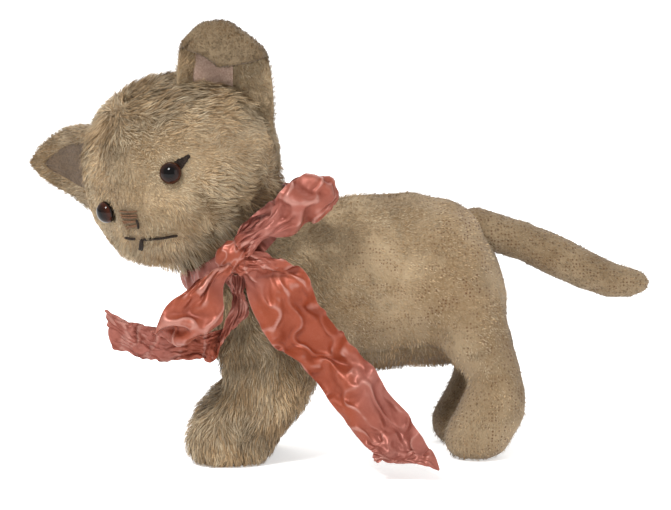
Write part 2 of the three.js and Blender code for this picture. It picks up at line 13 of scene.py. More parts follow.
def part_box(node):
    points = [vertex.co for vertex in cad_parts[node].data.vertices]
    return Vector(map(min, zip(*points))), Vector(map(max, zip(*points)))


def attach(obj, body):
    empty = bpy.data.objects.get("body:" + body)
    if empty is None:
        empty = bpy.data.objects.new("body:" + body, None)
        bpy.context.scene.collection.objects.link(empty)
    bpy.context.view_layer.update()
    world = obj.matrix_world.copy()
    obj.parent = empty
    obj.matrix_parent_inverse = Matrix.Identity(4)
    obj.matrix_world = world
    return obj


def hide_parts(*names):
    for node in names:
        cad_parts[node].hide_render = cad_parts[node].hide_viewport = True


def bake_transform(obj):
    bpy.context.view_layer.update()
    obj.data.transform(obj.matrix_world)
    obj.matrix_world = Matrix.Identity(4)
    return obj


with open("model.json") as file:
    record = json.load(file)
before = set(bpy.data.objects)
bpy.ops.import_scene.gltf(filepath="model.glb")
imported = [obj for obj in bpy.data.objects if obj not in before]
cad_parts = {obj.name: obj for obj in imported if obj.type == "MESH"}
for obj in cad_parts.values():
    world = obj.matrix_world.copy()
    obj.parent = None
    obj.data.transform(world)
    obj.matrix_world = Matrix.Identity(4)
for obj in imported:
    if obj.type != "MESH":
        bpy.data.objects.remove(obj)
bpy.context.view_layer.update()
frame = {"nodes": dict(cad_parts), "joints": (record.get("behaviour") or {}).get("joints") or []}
nodes = frame["nodes"]
rng = np.random.default_rng(20)

# Lengths below are in millimetres in the cat's own frame, whose x = y = 0 is under the neck-to-rump line.
NECK = np.array([-42.6, 0.0, 83.8])
joints = {joint["name"]: joint for joint in frame["joints"]}
SHIFT = np.array(joints["head_swivel"]["pos_m"]) * 1000 - NECK

HEAD = (
    Matrix.Translation(Vector(NECK + SHIFT))
    @ Matrix.Rotation(np.radians(-40), 4, "Y")
    @ Matrix.Rotation(np.radians(53), 4, "Z")
    @ Matrix.Translation((0, 0, 27))
    @ Matrix.Rotation(np.radians(20), 4, "Y")
    @ Matrix.Rotation(np.pi, 4, "Z")
)
HEAD_ROT = np.array(HEAD.to_3x3())
HEAD_AT = np.array(HEAD.translation) - SHIFT
NECK_UP = np.array((-0.642788, 0.0, 0.766044))  # the swivel axis, 40 degrees forward of upright


def metres(points):
    return (np.asarray(points, float) + SHIFT) / 1000


def millimetres(points):
    return np.asarray(points, float) * 1000 - SHIFT


def unit(vectors):
    vectors = np.asarray(vectors, float)
    return vectors / np.maximum(np.linalg.norm(vectors, axis=-1, keepdims=True), 1e-9)


def step(low, high, values):
    t = np.clip((np.asarray(values, float) - low) / (high - low), 0, 1)
    return t * t * (3 - 2 * t)


def bell(values, width):
    return np.exp(-((values / width) ** 2))


def gap(points, place):
    return np.linalg.norm(points - place, axis=1)


# ---------- noise ----------
GRADIENTS = unit(np.random.default_rng(3).normal(size=(256, 3)))
TABLE = np.random.default_rng(4).permutation(256)


def noise(points, cell, layer=0):
    """Smooth noise of about -1 to 1, with features about as large as cell."""
    q = np.asarray(points, float) / cell + 37.7 * (layer + 1)
    base = np.floor(q).astype(np.int64)
    f = q - base
    w = f**3 * (f * (f * 6 - 15) + 10)
    total = np.zeros(len(q))
    for corner in np.ndindex(2, 2, 2):
        c = base + corner
        g = GRADIENTS[TABLE[(TABLE[(TABLE[c[:, 0] & 255] + c[:, 1]) & 255] + c[:, 2]) & 255]]
        weight = np.prod(np.where(corner, w, 1 - w), axis=1)
        total += weight * (g * (f - corner)).sum(1)
    return 1.7 * total


def swirl(points, cell, layer=0):
    return np.stack([noise(points, cell, layer + k) for k in (11, 12, 13)], axis=1)


# ---------- meshes ----------
def build(name, points, faces, materials, index=None):
    """A smooth-shaded object from points in millimetres and arrays of faces with one row a face."""
    mesh = bpy.data.meshes.new(name)
    points = metres(points).astype(np.float32)
    corners = np.concatenate([np.asarray(f).ravel() for f in faces]).astype(np.int32)
    sizes = np.concatenate([np.full(len(f), np.asarray(f).shape[1]) for f in faces])
    mesh.vertices.add(len(points))
    mesh.vertices.foreach_set("co", points.ravel())
    mesh.loops.add(len(corners))
    mesh.loops.foreach_set("vertex_index", corners)
    mesh.polygons.add(len(sizes))
    mesh.polygons.foreach_set("loop_start", (np.cumsum(sizes) - sizes).astype(np.int32))
    if index is not None:
        mesh.polygons.foreach_set("material_index", np.asarray(index, np.int32))
    mesh.update(calc_edges=True)
    mesh.polygons.foreach_set("use_smooth", np.ones(len(sizes), bool))
    for material in materials:
        mesh.materials.append(material)
    obj = bpy.data.objects.new(name, mesh)
    bpy.context.scene.collection.objects.link(obj)
    return obj


def paint(obj, **values):
    """Stores a number at each vertex for the material to read."""
    for name, numbers in values.items():
        layer = obj.data.attributes.new(name, "FLOAT", "POINT")
        layer.data.foreach_set("value", np.asarray(numbers, np.float32))


def faces_of(mesh):
    mesh.calc_loop_triangles()
    triangles = np.empty(len(mesh.loop_triangles) * 3, np.int32)
    mesh.loop_triangles.foreach_get("vertices", triangles)
    return triangles.reshape(-1, 3)


def points_of(mesh):
    points = np.empty(len(mesh.vertices) * 3, np.float32)
    mesh.vertices.foreach_get("co", points)
    return millimetres(points.reshape(-1, 3))


def quads_of(mesh):
    corners = np.empty(len(mesh.loops), np.int32)
    mesh.loops.foreach_get("vertex_index", corners)
    return corners.reshape(-1, 4)


def finished_mesh(obj):
    """The object's mesh after its modifiers. The object itself is taken away."""
    mesh = bpy.data.meshes.new_from_object(obj.evaluated_get(bpy.context.evaluated_depsgraph_get()))
    bpy.data.objects.remove(obj)
    return mesh


def grid(rows, columns, rows_meet=False, columns_meet=False):
    """Quads over rows and columns of points, whose last row or column may meet the first."""
    last_row, last_column = rows - (not rows_meet), columns - (not columns_meet)
    i, j = np.meshgrid(np.arange(last_row), np.arange(last_column), indexing="ij")
    down, over = (i + 1) % rows * columns, (j + 1) % columns
    return np.stack([i * columns + j, down + j, down + over, i * columns + over], -1).reshape(-1, 4)


def ball_faces(rows, around):
    """Quads and end triangles of a ball, whose points are its rows and then its two poles."""
    j = np.arange(around)
    after, last, poles = (j + 1) % around, (rows - 1) * around, rows * around
    first_end = np.stack([np.full(around, poles), j, after], 1)
    second_end = np.stack([np.full(around, poles + 1), last + after, last + j], 1)
    return [grid(rows, around, columns_meet=True), np.concatenate([first_end, second_end])]


def normals_of(points, faces):
    """Vertex normals of a mesh of triangles or quads."""
    a, b, c = points[faces[:, 0]], points[faces[:, 1]], points[faces[:, 2]]
    across = np.cross(b - a, c - a)
    if faces.shape[1] == 4:
        across += np.cross(c - a, points[faces[:, 3]] - a)
    total = np.zeros_like(points)
    for corner in faces.T:
        for axis in range(3):
            total[:, axis] += np.bincount(corner, across[:, axis], len(points))
    return unit(total)


def relaxed(points, faces, rounds):
    """Takes out facets and voxel steps, and keeps the volume."""
    total = len(points)
    a, b = faces.ravel(order="F"), np.roll(faces, -1, axis=1).ravel(order="F")
    count = np.bincount(a, minlength=total) + np.bincount(b, minlength=total)
    for _ in range(rounds):
        for pull in (0.5, -0.52):
            sums = [np.bincount(a, p[b], total) + np.bincount(b, p[a], total) for p in points.T]
            mean = np.stack(sums, 1) / count[:, None]
            points = points + pull * (mean - points)
    return points


def largest_island(points, faces):
    label = np.arange(len(points))
    while True:
        low = label.copy()
        lowest = label[faces].min(1)
        for corner in faces.T:
            np.minimum.at(low, corner, lowest)
        low = low[low]
        if (low == label).all():
            break
        label = low
    keep = label == np.bincount(label).argmax()
    renumber = np.cumsum(keep) - 1
    return points[keep], renumber[faces[keep[faces[:, 0]]]]


def fused(names, voxel, rounds, bars=()):
    """One smooth form around these CAD nodes and round bars of (start, end, radius), as points and quads."""
    joined = bmesh.new()
    for name in names:
        joined.from_mesh(nodes[name].data)
    for start, end, radius in bars:
        start, end = Vector(metres(start)), Vector(metres(end))
        for k in range(13):
            ball = Matrix.Translation(start.lerp(end, k / 12))
            bmesh.ops.create_icosphere(joined, subdivisions=3, radius=radius / 1000, matrix=ball)
    mesh = bpy.data.meshes.new("joined")
    joined.to_mesh(mesh)
    joined.free()
    obj = bpy.data.objects.new("joined", mesh)
    bpy.context.scene.collection.objects.link(obj)
    remesh = obj.modifiers.new("remesh", "REMESH")
    remesh.mode = "VOXEL"
    remesh.voxel_size = voxel / 1000
    result = finished_mesh(obj)
    points, quads = largest_island(points_of(result), quads_of(result))
    return relaxed(points, quads, rounds), quads


def subdivided(points, quads):
    """One Catmull-Clark step."""
    obj = build("coarse", points, [quads], [])
    obj.modifiers.new("finer", "SUBSURF").levels = 1
    result = finished_mesh(obj)
    return points_of(result), quads_of(result)


def tree_of(points, faces):
    return BVHTree.FromPolygons([Vector(p) for p in points], faces.tolist())


def node_tree(name):
    mesh = nodes[name].data
    return tree_of(points_of(mesh), faces_of(mesh))


def seam_distance(points, names):
    """How far each point is from the nearest seam between these CAD panels."""
    trees = [node_tree(name) for name in names]
    reach = np.array([[tree.find_nearest(Vector(p))[3] for tree in trees] for p in points])
    reach.sort(axis=1)
    return reach[:, 1] - reach[:, 0]


# ---------- materials ----------
class Shader:
    """A Principled material that is put together from small node calls."""

    def __init__(self, name, colour=(0.5, 0.5, 0.5), **values):
        self.material = bpy.data.materials.new(name)
        self.material.use_nodes = True
        self.tree = self.material.node_tree
        self.principled = self.tree.nodes["Principled BSDF"]
        self.set("Base Color", (*colour, 1))
        for key, value in values.items():
            self.set(key.replace("_", " ").capitalize() if key not in SOCKETS else SOCKETS[key], value)
        self.where = None

    def set(self, socket, value):
        self.principled.inputs[socket].default_value = value

    def link(self, source, socket):
        self.tree.links.new(source, self.principled.inputs[socket])

    def node(self, kind, inputs=(), **settings):
        node = self.tree.nodes.new(kind)
        for key, value in settings.items():
            setattr(node, key, value)
        for key, value in dict(inputs).items():
            if isinstance(value, bpy.types.NodeSocket):
                self.tree.links.new(value, node.inputs[key])
            else:
                node.inputs[key].default_value = value
        return node

    def place(self):
        if self.where is None:
            self.where = self.node("ShaderNodeTexCoord").outputs["Object"]
        return self.where

    def noise(self, size, detail=3.0, distortion=0.0):
        inputs = {"Vector": self.place(), "Scale": 1000 / size, "Detail": detail, "Distortion": distortion}
        return self.node("ShaderNodeTexNoise", inputs).outputs["Fac"]

    def cells(self, size, random=1.0):
        return self.node(
            "ShaderNodeTexVoronoi", {"Vector": self.place(), "Scale": 1000 / size, "Randomness": random}
        ).outputs["Distance"]

    def attribute(self, name):
        return self.node("ShaderNodeAttribute", attribute_name=name).outputs["Fac"]

    def ramp(self, value, low, high, to_low=0.0, to_high=1.0):
        return self.node(
            "ShaderNodeMapRange",
            {"Value": value, "From Min": low, "From Max": high, "To Min": to_low, "To Max": to_high},
            interpolation_type="SMOOTHSTEP",
        ).outputs["Result"]

    def math(self, kind, a, b=0.0):
        return self.node("ShaderNodeMath", {0: a, 1: b}, operation=kind).outputs[0]

    def mix(self, share, a, b, blend="MIX"):
        node = self.node("ShaderNodeMix", data_type="RGBA", blend_type=blend)
        for key, value in ((0, share), (6, a), (7, b)):
            if isinstance(value, bpy.types.NodeSocket):
                self.tree.links.new(value, node.inputs[key])
            else:
                node.inputs[key].default_value = (*value, 1) if key else value
        return node.outputs[2]

    def bump(self, height, distance, strength):
        inputs = {"Height": height, "Distance": distance / 1000, "Strength": strength}
        self.link(self.node("ShaderNodeBump", inputs).outputs["Normal"], "Normal")


SOCKETS = {
    "coat": "Coat Weight",
    "coat_roughness": "Coat Roughness",
    "sheen": "Sheen Weight",
    "sheen_roughness": "Sheen Roughness",
    "specular": "Specular IOR Level",
}


def tint(red, green, blue):
    """A colour given in everyday 0 to 255 steps, as the shader's linear light."""
    c = np.array([red, green, blue]) / 255
    return tuple(float(x) for x in np.where(c <= 0.04045, c / 12.92, ((c + 0.055) / 1.055) ** 2.4))


def mohair_backing(name):
    """Worn pile over a woven backing, whose knots show as rows of small brown dots."""
    s = Shader(name, roughness=0.95, specular=0.15, sheen=0.15)
    patches = s.ramp(s.noise(22, 4), 0.36, 0.64)
    colour = s.mix(patches, tint(122, 99, 70), tint(166, 145, 115))
    grey = s.ramp(s.noise(9, 3, 0.6), 0.52, 0.74, 0, 0.5)
    colour = s.mix(grey, colour, tint(108, 95, 76))
    tufts = s.ramp(s.noise(0.9, 3, 0.8), 0.3, 0.72)
    colour = s.mix(s.math("MULTIPLY", tufts, 0.45), colour, tint(174, 155, 126))
    worn = s.attribute("worn")
    colour = s.mix(s.math("MULTIPLY", worn, 0.3), colour, tint(126, 101, 72))
    dots = s.ramp(s.cells(1.25, 0.45), 0.2, 0.36, 1, 0)
    some = s.ramp(s.noise(5, 2), 0.36, 0.5)
    dots = s.math("MULTIPLY", s.math("MULTIPLY", dots, some), worn)
    colour = s.mix(s.math("MULTIPLY", dots, 0.9), colour, tint(84, 46, 24))
    # The dark attribute is partly painted shade, in the seam grooves, around the eyes and between and under
    # the legs, and partly darker cloth.
    colour = s.mix(s.attribute("dark"), colour, tint(70, 54, 36))
    s.link(colour, "Base Color")
    s.bump(s.math("ADD", tufts, s.math("MULTIPLY", dots, -0.6)), 0.35, 0.7)
    return s.material


def pile_palette(name, darkest, lightest, warm, shades):
    """Plain strand colours from dark to light, each in a greyer and a warmer kind."""
    palette = []
    for share in np.linspace(0, 1, shades):
        for hue in (0, 1):
            grey = np.array(darkest) + (np.array(lightest) - darkest) * share
            c = grey + np.array(warm) * hue
            s = Shader(f"{name}_{len(palette)}", tint(*c), roughness=0.55, specular=0.35)
            palette.append(s.material)
    return palette


BACKING = mohair_backing("mohair_backing")
PILE = pile_palette("mohair_pile", (97, 80, 58), (206, 188, 158), (7, -3, -12), 6)


def taffeta(name):
    s = Shader(name, roughness=0.4, specular=0.4, metallic=0.3, sheen=0.04, sheen_roughness=0.35)
    tone = s.ramp(s.noise(48, 2, 0.3), 0.38, 0.62)
    colour = s.mix(tone, tint(138, 61, 34), tint(140, 79, 67))
    # Painted shade darkens the cloth in its hollows and folds.
    colour = s.mix(s.math("MULTIPLY", s.attribute("hollow"), 0.7), colour, tint(102, 36, 18))
    threads = s.ramp(s.noise(0.5, 2, 0.3), 0.35, 0.7, 0.0, 0.05)
    colour = s.mix(threads, colour, tint(176, 122, 106))
    # Paler on the crests: partly a painted highlight on the ridges, partly faded edges and worn creases.
    crest = s.math("MULTIPLY", s.attribute("crest"), 0.7)
    colour = s.mix(crest, colour, tint(172, 122, 110))
    s.link(colour, "Base Color")
    s.link(s.ramp(s.noise(5, 3), 0.3, 0.7, 0.36, 0.55), "Roughness")
    s.bump(s.noise(0.45, 2, 0.2), 0.06, 0.5)
    return s.material


def grained(name, dark, light, size, roughness, depth, **values):
    """A two-tone grain with its own bump, for felt, board, thread, wood wool and wire."""
    s = Shader(name, roughness=roughness, **values)
    grain = s.ramp(s.noise(size, 4, 0.8), 0.34, 0.68)
    broad = s.ramp(s.noise(size * 14, 3), 0.35, 0.65, 0.0, 0.45)
    colour = s.mix(grain, dark, light)
    s.link(s.mix(broad, colour, tuple(c * 0.72 for c in dark)), "Base Color")
    s.bump(grain, depth, 0.8)
    return s.material


FELT = {
    "left": grained("ear_felt", tint(154, 126, 110), tint(182, 156, 138), 0.6, 0.95, 0.15, sheen=0.1),
    # The far ear's felt is the same felt made darker: painted shade for the ear that stands in shade.
    "right": grained("ear_felt_in_shade", tint(78, 62, 46), tint(102, 82, 62), 0.6, 0.95, 0.15, sheen=0.1),
}
BLACK_THREAD = grained("black_thread", tint(24, 17, 13), tint(58, 46, 38), 0.35, 0.85, 0.1, specular=0.2)
NOSE_THREAD = grained("nose_thread", tint(92, 60, 38), tint(134, 94, 62), 0.4, 0.85, 0.12)
WOOD_WOOL = grained("wood_wool", tint(170, 146, 100), tint(214, 194, 150), 1.0, 0.95, 0.4)
BOARD = grained("fibreboard", tint(122, 100, 72), tint(158, 134, 100), 0.5, 0.9, 0.1)
STEEL = grained("steel_wire", tint(120, 118, 114), tint(168, 166, 162), 0.8, 0.38, 0.03, metallic=1.0)
TAFFETA = taffeta("taffeta")

for name, material in {
    "body_stuffing": WOOD_WOOL, "tail_stuffing": WOOD_WOOL, "head_stuffing": WOOD_WOOL,
    "head_disc": BOARD, "neck_disc": BOARD, "head_washer": STEEL, "neck_washer": STEEL,
    "neck_cotter_pin": STEEL, "eye_left_wire": STEEL, "eye_right_wire": STEEL,
}.items():
    for entry in nodes[name].material_slots:
        entry.material = material


# ---------- pile ----------
def pile(
    name, form, density, length, nap, tone, width, lift=0.5, clump=0.4, lock=2.2, scatter=0.2, joints_each=2,
    keep=None,
):
    """Strands of pile on a form of points, faces and normals.

    density, length and lift are numbers or functions of the root points. nap and tone are functions of them.
    """
    points, faces, normals = form
    tris = faces if faces.shape[1] == 3 else np.concatenate([faces[:, :3], faces[:, [0, 2, 3]]])
    a, b, c = points[tris[:, 0]], points[tris[:, 1]], points[tris[:, 2]]
    area = np.linalg.norm(np.cross(b - a, c - a), axis=1) / 2
    dense = area * density((a + b + c) / 3) if callable(density) else area * density
    picks = np.searchsorted(np.cumsum(dense), rng.random(int(dense.sum())) * dense.sum())
    r, q = np.sqrt(rng.random(len(picks))), rng.random(len(picks))
    weights = np.stack([1 - r, r * (1 - q), r * q], 1)[:, :, None]
    corners = tris[picks]
    root = (points[corners] * weights).sum(1)
    out = unit((normals[corners] * weights).sum(1))
    if keep is not None:
        kept = keep(root, out)
        root, out = root[kept], out[kept]
    count = len(root)
    long = (length(root) if callable(length) else np.full(count, length)) * rng.uniform(0.6, 1.25, count)
    flow = nap(root, out) + rng.normal(size=(count, 3)) * scatter
    along = unit(flow - out * (flow * out).sum(1, keepdims=True))
    rise = (lift(root, out) if callable(lift) else lift) + rng.normal(size=count) * 0.12
    rise = np.clip(rise, 0.12, 3)[:, None]
    tip = root + (along + out * rise) * (long / np.sqrt(1 + rise[:, 0] ** 2))[:, None]
    cells = np.floor((root + swirl(root, 5) * 1.2) / lock).astype(int)
    _, group = np.unique(cells @ (1, 4001, 16012001), return_inverse=True)
    size = np.bincount(group)
    gathered = np.stack([np.bincount(group, tip[:, k]) / size for k in range(3)], 1)[group]
    share = (clump * rng.uniform(0.3, 1, count))[:, None]
    tip = tip + (gathered + out * 0.3 - tip) * share
    twist = rng.uniform(-0.9, 0.9, count)[:, None]
    side = unit(np.cross(out, along) * np.cos(twist) + out * np.sin(twist)) * width / 2
    middle = root + (tip - root) * 0.5 + out * (0.12 * long)[:, None]
    rows = [root - out * 0.15, middle, tip] if joints_each == 1 else [
        root - out * 0.15,
        root * 0.48 + middle * 0.56 - tip * 0.04,
        middle * 0.62 + tip * 0.44 - root * 0.06,
        tip,
    ]
    taper = [1, 0.85, 0] if joints_each == 1 else [1, 0.95, 0.7, 0]
    verts = [r + s * side * t for r, t in zip(rows[:-1], taper) for s in (-1, 1)] + [rows[-1]]
    verts = np.concatenate(verts)
    verts[:, 2] = np.maximum(verts[:, 2], 0.03)
    i = np.arange(count)
    at = [i + k * count for k in range(2 * len(rows) - 1)]
    starts = range(0, 2 * len(rows) - 4, 2)
    quads = [np.stack([at[k], at[k + 1], at[k + 3], at[k + 2]], 1) for k in starts]
    tips = np.stack([at[-3], at[-2], at[-1]], 1)
    shade = np.clip(tone(root) + rng.normal(size=count) * 0.12, 0, 0.999)
    warmth = (noise(root, 14, 5) + rng.normal(size=count) * 0.5 > 0.1).astype(int)
    index = (shade * (len(PILE) // 2)).astype(int) * 2 + warmth
    obj = build(name, verts, [*quads, tips], PILE, np.tile(index, len(quads) + 1))
    return obj


# ---------- body ----------
SEAM_WIDTH = 0.9
BODY_PANELS = ["body_side_left", "body_side_right", "belly_gusset"]
body_points, body_quads = fused([*BODY_PANELS, "body_stuffing"], 1.5, 30)
body_points, body_quads = subdivided(body_points, body_quads)
body_normals = normals_of(body_points, body_quads)
body_seam = seam_distance(body_points, BODY_PANELS)
groove = bell(body_seam, SEAM_WIDTH)
lumps = 0.5 * noise(body_points, 16, 1) + 0.25 * noise(body_points, 7, 2)
body_points = body_points + body_normals * (lumps - 0.8 - 0.3 * groove)[:, None]
body_points[:, 2] = np.maximum(body_points[:, 2], 0)
body_normals = normals_of(body_points, body_quads)


def long_haired(p):
    """The chest and forelegs kept their long pile."""
    return step(-6, -28, p[:, 0]) * step(84, 66, p[:, 2])


def worn_bare(p):
    """The rump, haunches and hind feet are rubbed down to the backing."""
    flank = 0.85 * step(-14, 0, p[:, 0]) * step(96, 84, p[:, 2]) * step(12, 22, np.abs(p[:, 1]))
    return np.clip(np.maximum(flank, step(6, 34, p[:, 0])) * (0.75 + 0.5 * noise(p, 14, 8)), 0, 1)


def painted_under_shade(p):
    """Painted shade between the legs and under the belly, and darker soles."""
    under = step(30, 44, p[:, 2]) * step(60, 50, p[:, 2]) * step(24, 6, np.abs(p[:, 1])) * 0.5
    between = step(20, 8, np.abs(p[:, 1])) * step(50, 42, p[:, 2])
    soles = step(5, 1, p[:, 2]) * 0.6
    return np.clip(0.7 * between + under + soles, 0, 0.85)


body = build("body_skin", body_points, [body_quads], [BACKING])
# The dark values here are painted shade between and under the legs and in the seam grooves, plus a darkening
# towards the bottom.
body_dark = painted_under_shade(body_points) * 0.6 + 0.2 * groove + 0.18 * step(60, 40, body_points[:, 2])
paint(body, worn=worn_bare(body_points), dark=np.clip(body_dark, 0, 1))
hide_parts(*BODY_PANELS, "body_stuffing")
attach(body, "body")


def body_nap(p, n):
    flow = np.zeros_like(p)
    flow[:, 0] = 0.8
    legs = step(52, 34, p[:, 2])
    flow[:, 0] -= 0.75 * np.maximum(legs, step(-30, -46, p[:, 0]))
    flow[:, 2] = -0.6 - 0.4 * legs
    return unit(flow) + swirl(p, 9, 20) * 0.75


def body_tone(p):
    back = step(84, 100, p[:, 2]) + step(52, 68, p[:, 0])
    mottled = 0.61 + 0.24 * noise(p, 20, 31) + 0.18 * noise(p, 7, 32)
    # The pile is painted darker with the painted shade between and under the legs.
    return mottled - 0.42 * painted_under_shade(p) - 0.12 * back - 0.08 * step(60, 40, p[:, 2])


def fringe(p):
    """Fluff along the belly and inside the legs, where nothing rubbed."""
    return step(44, 32, p[:, 2]) * step(26, 14, np.abs(p[:, 1])) * step(46, 30, p[:, 0])


body_form = (body_points, body_quads, body_normals)
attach(pile(
    "body_pile_worn", body_form, lambda p: (1.0 - long_haired(p)) * (2.4 - 1.7 * worn_bare(p)),
    lambda p: 1.5 - 0.6 * worn_bare(p) + 0.9 * fringe(p) + 0.25 * noise(p, 8, 40), body_nap, body_tone,
    width=0.18, lift=0.75, clump=0.6, lock=1.8, joints_each=1,
), "body")
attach(pile(
    "body_pile_long", body_form, lambda p: long_haired(p) * 3.6,
    lambda p: 1.8 + 2.0 * long_haired(p) * step(90, 60, p[:, 2]), body_nap, body_tone,
    width=0.2, lift=0.34, clump=0.5, lock=2.8, scatter=0.14,
), "body")

# ---------- head ----------
HEAD_PANELS = ["head_side_left", "head_side_right", "head_gusset"]
head_points, head_quads = fused([*HEAD_PANELS, "head_stuffing"], 1.5, 30)
head_points, head_quads = subdivided(head_points, head_quads)


def in_head(p):
    """Points in the head's own axes: forward, left and up."""
    return (np.asarray(p) - HEAD_AT) @ HEAD_ROT


def from_head(p):
    return np.asarray(p, float) @ HEAD_ROT.T + HEAD_AT


def centre_of(node):
    return np.mean([millimetres(corner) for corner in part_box(node)], axis=0)


EYES = {}
for side in ("left", "right"):
    glass, wire = centre_of(f"eye_{side}_glass"), centre_of(f"eye_{side}_wire")
    EYES[side] = (glass, unit(glass - wire))

head_normals = normals_of(head_points, head_quads)
head_seam = seam_distance(head_points, HEAD_PANELS)
head_groove = bell(head_seam, SEAM_WIDTH)
sink = sum(bell(gap(head_points, at), 6.5) for at, _ in EYES.values())
head_lumps = 0.45 * noise(head_points, 15, 61) + 0.2 * noise(head_points, 6, 62)
head_points = head_points + head_normals * (head_lumps - 0.7 - 0.12 * head_groove - 1.1 * sink)[:, None]
head_normals = normals_of(head_points, head_quads)
head_tree = tree_of(head_points, head_quads)


def on_head(azimuth, elevation, lift=0.0):
    """A point on the head's skin in a direction from the middle of the head."""
    a, e = np.radians([azimuth, elevation])
    direction = from_head([np.cos(e) * np.cos(a), np.cos(e) * np.sin(a), np.sin(e)]) - HEAD_AT
    hit, normal, _, _ = head_tree.ray_cast(Vector(HEAD_AT + direction * 80), Vector(-direction))
    return np.array(hit) + np.array(normal) * lift


def crown(p):
    """The top of the head kept its long pile."""
    q = in_head(p)
    return step(-6, 22, q[:, 2] - 0.35 * q[:, 0])


def throat(p):
    """Long pile hangs over the neck joint, under the chin most of all."""
    level = (np.asarray(p) - NECK) @ NECK_UP
    q = in_head(p)
    return step(11, 3, level) * (0.45 + 0.55 * step(-5, 12, q[:, 0]))


def chin(p):
    """Long fine pile stands out under the muzzle and along the throat."""
    q = in_head(p)
    return step(-6, -16, q[:, 2]) * step(-4, 12, q[:, 0])


def muzzle(p):
    q = in_head(p)
    return step(20, 32, q[:, 0]) * step(6, -6, q[:, 2])


NOSE_CENTRE = on_head(-3.5, -12)
head = build("head_skin", head_points, [head_quads], [BACKING])
head_worn = 0.25 * muzzle(head_points) + 0.15 * step(0, 20, -in_head(head_points)[:, 2])
nose_shadow = bell(gap(head_points, NOSE_CENTRE), 5)
# Here dark holds painted shade in the seam grooves and around the sunk eyes, and the darkening over the nose.
paint(head, worn=head_worn, dark=0.1 * head_groove + 0.25 * np.clip(sink, 0, 1) + 0.75 * nose_shadow)
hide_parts(*HEAD_PANELS, "head_stuffing")
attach(head, "head")

MOUTH = [
    [on_head(a, e, 1.1) for a, e in stops]
    for stops in (
        [(-6.5, -25), (2.5, -30), (7, -33), (12, -35.5)],
        [(-17.5, -19.5), (-13, -21.8), (-10, -23.2)],
        [(-5.8, -24.8), (-13, -27.6), (-19, -29.6)],
        [(-6.4, -25.6), (-12.5, -28.6), (-18.6, -30.6)],
        [(1.2, -14.9), (0.2, -17), (-1.8, -19.4)],
    )
]


def head_nap(p, n):
    q = in_head(p)
    flow = np.stack([-0.6 + 0.02 * q[:, 0], 0.03 * q[:, 1], np.full(len(q), -0.55)], 1)
    under = throat(p)[:, None]
    return (unit(flow) @ HEAD_ROT.T) * (1 - under) + (0.5 * n - NECK_UP) * under + swirl(p, 7, 50) * 1.1


def head_tone(p):
    near_nose = bell(gap(p, NOSE_CENTRE), 5.5)
    q = in_head(p)
    cheek = step(10, -14, q[:, 0]) * step(16, -4, q[:, 2])
    mottled = 0.61 + 0.2 * noise(p, 14, 33) + 0.16 * noise(p, 5.5, 34)
    return mottled + 0.08 * muzzle(p) - 0.06 * cheek - 0.05 * crown(p) - 0.6 * near_nose


def clear_of_features(root, out):
    keep = (root - NECK) @ NECK_UP > 0.4
    for at, _ in EYES.values():
        keep &= gap(root, at) > 4.3
    keep &= gap(root, NOSE_CENTRE) > 3.2
    for line in MOUTH:
        for p in line:
            keep &= gap(root, p) > 1.9
    return keep


def near_mouth(p):
    return bell(np.min([gap(p, at) for line in MOUTH for at in line], axis=0), 5)


def shaggy(p):
    return np.clip(crown(p) + throat(p), 0, 1)


def short_length(p):
    full = 1.7 - 0.8 * muzzle(p) + 1.9 * chin(p) + 0.3 * noise(p, 8, 41)
    return full * (1 - 0.7 * near_mouth(p))


def long_length(p):
    full = 2.4 + 2.9 * crown(p) + 4.4 * throat(p) + 1.2 * chin(p) + 0.7 * noise(p, 7, 42)
    return full * (1 - 0.7 * near_mouth(p))


def long_lift(p, n):
    """Stands up along the crown's near edge, at the throat and under the chin."""
    over_crown = 0.3 * crown(p) * step(0.5, 0.1, np.abs(n[:, 1] + 0.98))
    under_throat = 2.0 * throat(p) * step(-0.1, 0.7, -(n @ NECK_UP))
    return 0.36 + over_crown + under_throat + 0.9 * chin(p)


head_form = (head_points, head_quads, head_normals)
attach(pile(
    "head_pile_short", head_form, lambda p: 4.4 * (1 - shaggy(p)) + 0.3, short_length, head_nap, head_tone,
    width=0.17, lift=lambda p, n: 0.45 + 1.1 * chin(p), clump=0.5, lock=2.0, scatter=0.16, joints_each=1,
    keep=clear_of_features,
), "head")
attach(pile(
    "head_pile_long", head_form, lambda p: shaggy(p) * 4.6, long_length, head_nap, head_tone,
    width=0.19, lift=long_lift, clump=0.5, lock=2.8, scatter=0.13, keep=clear_of_features,
), "head")

# ---------- tail ----------
tail_points, tail_quads = fused(["tail_cover", "tail_stuffing"], 0.9, 20, [((46, 0, 82), (63, 0, 76.6), 7.6)])
tail_normals = normals_of(tail_points, tail_quads)
tail_points = tail_points + tail_normals * (0.35 * noise(tail_points, 9, 71) - 0.5)[:, None]
tail_normals = normals_of(tail_points, tail_quads)
tail = build("tail_skin", tail_points, [tail_quads], [BACKING])
paint(tail, worn=np.full(len(tail_points), 0.85), dark=np.full(len(tail_points), 0.3))
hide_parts("tail_cover", "tail_stuffing")
tail_pile = pile(
    "tail_pile", (tail_points, tail_quads, tail_normals), 1.6, 0.9,
    lambda p, n: np.array([1.0, 0, -0.3]) + swirl(p, 7, 55) * 0.5,
    lambda p: 0.27 + 0.14 * noise(p, 12, 35), width=0.2, lift=0.5, joints_each=1,
)
for piece in (tail, tail_pile):
    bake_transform(piece)

# ---------- eyes ----------
EYE_RADIUS, EYE_FRONT, EYE_BACK = 4.0, 3.7, 1.2  # the glass is a dome on a flatter back
EYE_SET_BACK = 1.85  # from the middle of the glass to its widest ring


